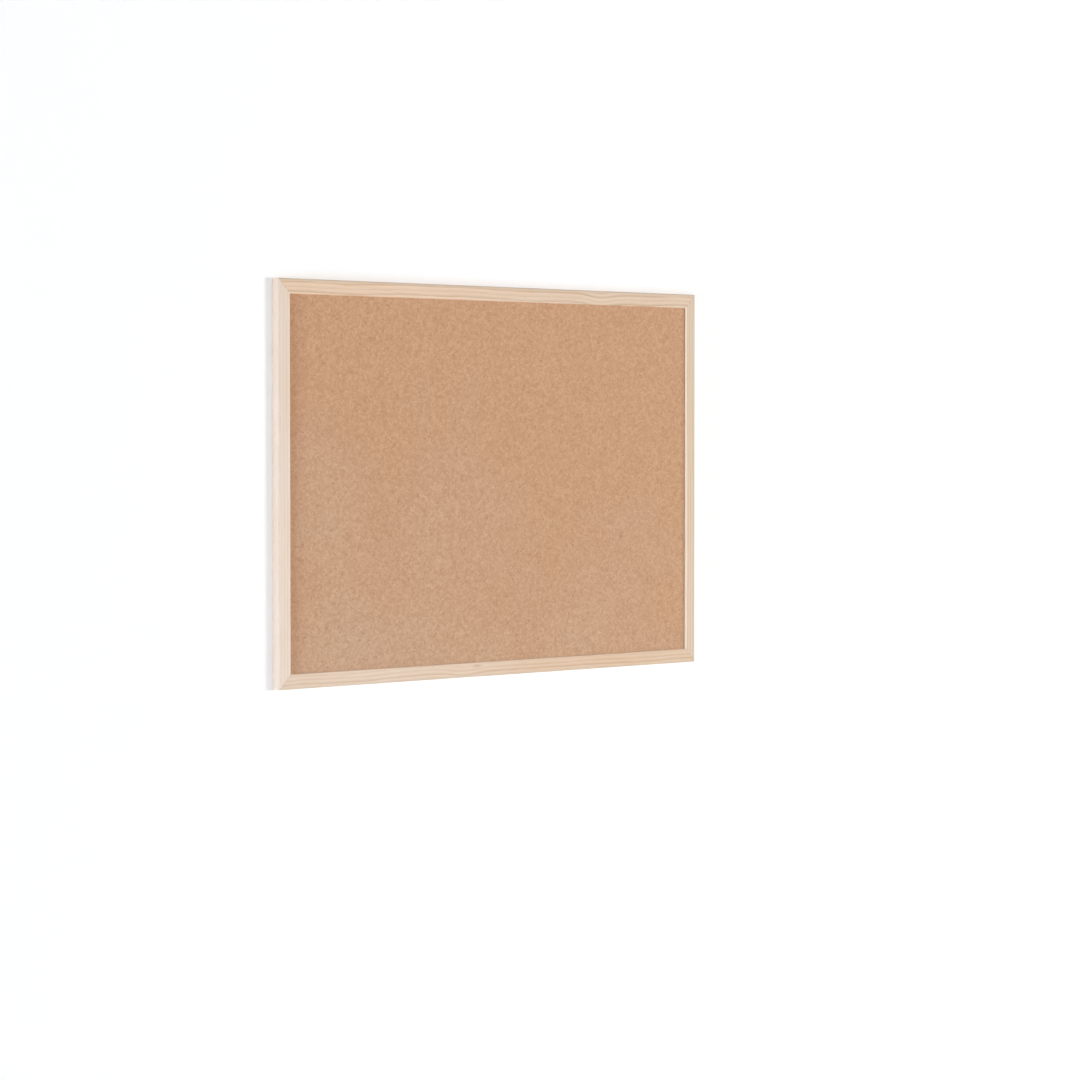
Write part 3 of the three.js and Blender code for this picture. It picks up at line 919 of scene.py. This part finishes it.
# Hanger screws
# One zinc-plated wood screw through each strap: a low pan head with a cross recess, and a coarse
# thread rolled on its shank down to the point.
screw_thread = 1.1 * MM
screw_core = 0.9 * MM
screw_crest = 1.3 * MM
screw_neck = 1.2 * MM
screw_tip = 2.5 * MM
tip_radius = 0.03 * MM
tip_curve = 0.8
neck_length = 1.2 * MM
ridge_half = 0.24
thread_sides = 32
thread_step = 0.09 * MM
head_radius = 2.5 * MM
head_height = 1.6 * MM
recess_arm = 2.6 * MM
recess_width = 0.8 * MM
recess_depth = 1 * MM
recess_above = 0.55 * MM
recess_flare = 1.35
recess_draft = 0.62

# How the driver left each recess turned, in degrees
recess_aims = {"left": 24, "right": 61}

# The head's outline from its underside up, as shares of its radius and height
head_shares = [
    (0.56, 0), (0.94, 0), (1, 0.05), (1, 0.3), (0.985, 0.42), (0.95, 0.56), (0.88, 0.7), (0.78, 0.81),
    (0.64, 0.9), (0.46, 0.96), (0.24, 0.99),
]


def thread_radius(below_head, turn, length):
    """The shank's radius at a depth and a turn in shares of a circle: a ridge that winds down it."""
    fading = min(1, max(0, (below_head - neck_length) / screw_thread))
    slimming = min(1, (length - below_head) / screw_tip)
    phase = (below_head / screw_thread - turn) % 1
    ridge = max(0, 1 - abs(phase - 0.5) / ridge_half)
    core = screw_core + (screw_neck - screw_core) * (1 - fading)
    return max(tip_radius, (core + (screw_crest - core) * ridge * fading) * slimming ** tip_curve)


def screw_mesh(name, centre, seat, length):
    """Rings from the point up the thread, and on round the head."""
    count = round(length / thread_step)
    turns = [i / thread_sides for i in range(thread_sides)]
    rings = []
    for step in range(count + 1):
        below = length * (1 - step / count)
        rings.append(ring_round(centre, seat - below, [thread_radius(below, turn, length) for turn in turns]))
    for across, up in head_shares:
        rings.append(ring_round(centre, seat + up * head_height, [across * head_radius] * thread_sides))
    return rings_mesh(name, rings)


def recess_bar(centre, top, turn):
    """One arm pair of the cross recess, narrower at its floor."""
    rings = []
    for share, y in ((recess_flare, top + recess_above), (recess_draft, top - recess_depth)):
        long, wide = recess_arm / 2 * share, recess_width / 2 * share
        corners = [(-long, -wide), (long, -wide), (long, wide), (-long, wide)]
        flat = [Matrix.Rotation(turn, 2) @ Vector(corner) for corner in corners]
        rings.append([Vector((centre.x + p.x, y, centre.z + p.y)) for p in flat])
    return new_object("recess", rings_mesh("recess", rings))


for side in hanger_sides:
    low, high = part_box(side + "_hanger_screw")
    centre = (low + high) / 2
    seat = high.y - head_height
    shape = screw_mesh(side + "_screw", centre, seat, seat - low.y)
    screw = new_object(side + "_pan_head_screw", shape, zinc)
    aim = math.radians(recess_aims[side])
    cut(screw, recess_bar(centre, high.y, aim))
    cut(screw, recess_bar(centre, high.y, aim + math.radians(90)))
    finish_surface(screw)
    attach(screw, "board")
    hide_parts(side + "_hanger_screw")

# Hanging rings
# Round steel wire bent into a D, plated after bending. Its straight bar turns in the strap's eye,
# where the wire's two ends meet, and the bow goes over the hook on the wall.
wire_radius = 0.8 * MM
wire_resolution = 6
wire_smooth_angle = math.radians(50)
ring_bend = 1.4 * MM
ring_butt = 0.4 * MM
ring_side_play = 0.6 * MM
ring_rest_gap = 0.3 * MM
ring_head_play = 0.9 * MM
bend_steps = 10
bow_steps = 48


def ring_line(half, leg):
    """The D's middle line as X and height over the bar, from one end of the wire to the other."""
    return [
        Vector((ring_butt / 2, 0)), Vector((ring_butt, 0)),
        *arc((half - ring_bend, ring_bend), ring_bend, -90, 0, bend_steps),
        *arc((0, leg), half, 0, 180, bow_steps),
        *arc((ring_bend - half, ring_bend), ring_bend, 180, 270, bend_steps),
        Vector((-ring_butt, 0)), Vector((-ring_butt / 2, 0)),
    ]


for side in hanger_sides:
    low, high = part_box(side + "_hanger_strap")
    centre = (low.x + high.x) / 2
    eye_z = high.z - eye_radius - strap_thickness
    half = (high.x - low.x) / 2 + ring_side_play + wire_radius
    leg = screw_from_eye + head_radius + ring_head_play - (half - wire_radius)
    lean = math.asin((eye_height - wire_radius - ring_rest_gap) / (leg + half))
    curve = bpy.data.curves.new(side + "_wire", "CURVE")
    curve.dimensions = "3D"
    curve.bevel_depth = wire_radius
    curve.bevel_resolution = wire_resolution
    curve.use_fill_caps = True
    line = ring_line(half, leg)
    spline = curve.splines.new("POLY")
    spline.points.add(len(line) - 1)
    for spot, place in zip(spline.points, line):
        back, up = eye_height - place.y * math.sin(lean), eye_z + place.y * math.cos(lean)
        spot.co = (centre + place.x, back, up, 1)
    wire = new_object(side + "_wire", curve)
    ring = new_object(side + "_wire_d_ring", as_built(wire), zinc)
    bpy.data.objects.remove(wire)
    finish_surface(ring, wire_smooth_angle)
    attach(ring, side + "_ring")
    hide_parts(side + "_hanging_ring")

# Stage and camera
# A white wall just behind the board and a pale floor far below. A low window lamp grazes the board
# from the left, two soft lamps level with its middle light it from the front and the right, and a
# fourth lights its back.
wall_y = whole_high.y + 0.1 * MM
floor_z = -1.25
far = 8
behind_board = 4 * MM
fill_level = 0.28
gloss_dimming = 0.22


def stage_material(name, colour, glow):
    """Paint that takes light and shadow as paint does, and glows a little for the camera alone. It is
    clear from behind and to light that starts close to it, so that the board's back is seen and lit."""
    material, tree = new_material(name)
    rays = add(tree, "LightPath").outputs
    painted = add(tree, "BsdfDiffuse", {"Color": colour})
    strength = add(tree, "Math", {0: rays["Is Camera Ray"], 1: glow}, operation="MULTIPLY")
    glowing = add(tree, "Emission", {"Color": "#FFFFFF", "Strength": strength})
    lit = add(tree, "AddShader", {0: painted, 1: glowing})
    close = add(tree, "Math", {0: rays["Ray Length"], 1: behind_board}, operation="LESS_THAN")
    behind = add(tree, "NewGeometry").outputs["Backfacing"]
    behind = add(tree, "Math", {0: behind, 1: close}, operation="MAXIMUM")
    clear = add(tree, "BsdfTransparent")
    surface = add(tree, "MixShader", {0: behind, 1: lit, 2: clear})
    add(tree, "OutputMaterial", {"Surface": surface})
    return material


def stage_sheet(name, material, corners):
    data = bpy.data.meshes.new(name)
    data.from_pydata(corners, [], [(0, 1, 2, 3)])
    sheet = new_object(name, data, material)
    sheet.visible_shadow = False
    sheet.visible_glossy = False
    sheet.visible_transmission = False


wall_paint = stage_material("white_wall_paint", "#F6F6F6", glow=0.1)
floor_paint = stage_material("pale_floor_paint", "#D2D2D0", glow=0.48)
stage_sheet("wall", wall_paint, [
    (-far, wall_y, floor_z), (far, wall_y, floor_z), (far, wall_y, far), (-far, wall_y, far),
])
stage_sheet("floor", floor_paint, [
    (-far, -far, floor_z), (far, -far, floor_z), (far, far, floor_z), (-far, far, floor_z),
])

# The room: white to the camera, a little darker in the metal's gloss, and a soft fill elsewhere
scene = bpy.context.scene
world = bpy.data.worlds.new("studio")
scene.world = world
world.use_nodes = True
room = world.node_tree
room.nodes.clear()
rays = add(room, "LightPath").outputs
direct = add(room, "Math", {0: rays["Is Camera Ray"], 1: rays["Is Glossy Ray"]}, operation="MAXIMUM")
direct = add(room, "Math", {0: direct, 1: rays["Is Transmission Ray"]}, operation="MAXIMUM")
level = add(room, "MapRange", {"Value": direct, "To Min": fill_level})
level = add(room, "Math", {0: rays["Is Glossy Ray"], 1: -gloss_dimming, 2: level}, operation="MULTIPLY_ADD")
white = add(room, "Background", {"Color": "#FFFFFF", "Strength": level})
add(room, "OutputWorld", {"Surface": white})


def soft_lamp(name, colour, azimuth, distance, rise, width, height, level):
    """An area lamp that faces the board. Azimuth runs from straight in front to the right. Level is
    the share of full white that it gives a white sheet facing it squarely at the board."""
    lamp = bpy.data.lights.new(name, "AREA")
    lamp.shape = "RECTANGLE"
    lamp.color = linear(colour)[:3]
    lamp.size = width
    lamp.size_y = height
    lamp.energy = math.pi ** 2 * (distance ** 2 + rise ** 2) * level
    stand = new_object(name, lamp)
    turn = math.radians(azimuth)
    stand.location = middle + Vector((distance * math.sin(turn), -distance * math.cos(turn), rise))
    stand.rotation_euler = (middle - stand.location).to_track_quat("-Z", "Y").to_euler()


soft_lamp("left_window_lamp", "#E6F0FF", -81, distance=6, rise=-0.5, width=0.5, height=0.5, level=0.555)
soft_lamp("right_front_lamp", "#FFFFFF", 5, distance=6, rise=0, width=1.1, height=0.5, level=0.16)
soft_lamp("right_side_lamp", "#FFFFFF", 43, distance=8, rise=0, width=3.2, height=0.6, level=0.53)
soft_lamp("back_lamp", "#FFFFFF", 180, distance=2.6, rise=0.9, width=2.4, height=1.6, level=0.74)

camera_turn = math.radians(45.306)
camera_dip = math.radians(1.777)
optics = bpy.data.cameras.new("camera")
optics.lens = 116.78
optics.sensor_width = 36
optics.clip_start = 0.05
optics.clip_end = 60
camera = new_object("camera", optics)
camera.location = (-2.5353, -2.5772, -0.14305)
camera.rotation_euler = (math.radians(90) - camera_dip, 0, -camera_turn)
scene.camera = camera
scene.view_settings.view_transform = "Standard"
